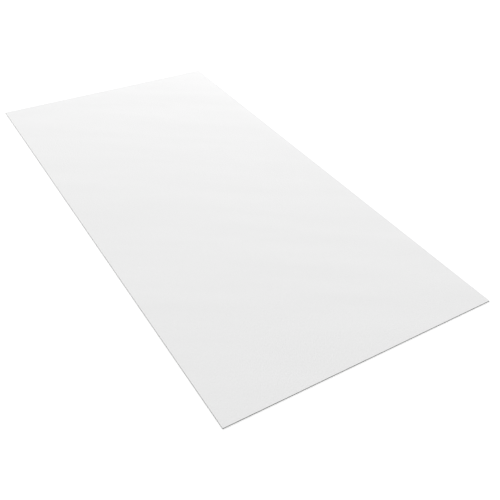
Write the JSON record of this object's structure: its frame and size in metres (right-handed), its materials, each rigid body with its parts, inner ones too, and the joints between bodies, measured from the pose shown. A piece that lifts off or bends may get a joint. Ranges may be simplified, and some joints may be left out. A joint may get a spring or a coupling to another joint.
{
  "type": "wall panel",
  "caption": "Thin flat rectangular wall panel sheet with sawn square edges and a finely embossed satin face, bonded to a wall by its back and held at its edges in trim.",
  "frame": {"origin": "centre of the back face, which lies on the floor", "axes": "+X along the sheet's length, +Y across its width, +Z out of the finished face"},
  "size_m": [2.4384, 1.2192, 0.0032],
  "materials": {
    "white_laminate": "white glass-fibre reinforced polyester, finely embossed satin face, plain back, sawn edges"
  },
  "bodies": {
    "root": {"panel": "white_laminate"}
  },
  "joints": []
}
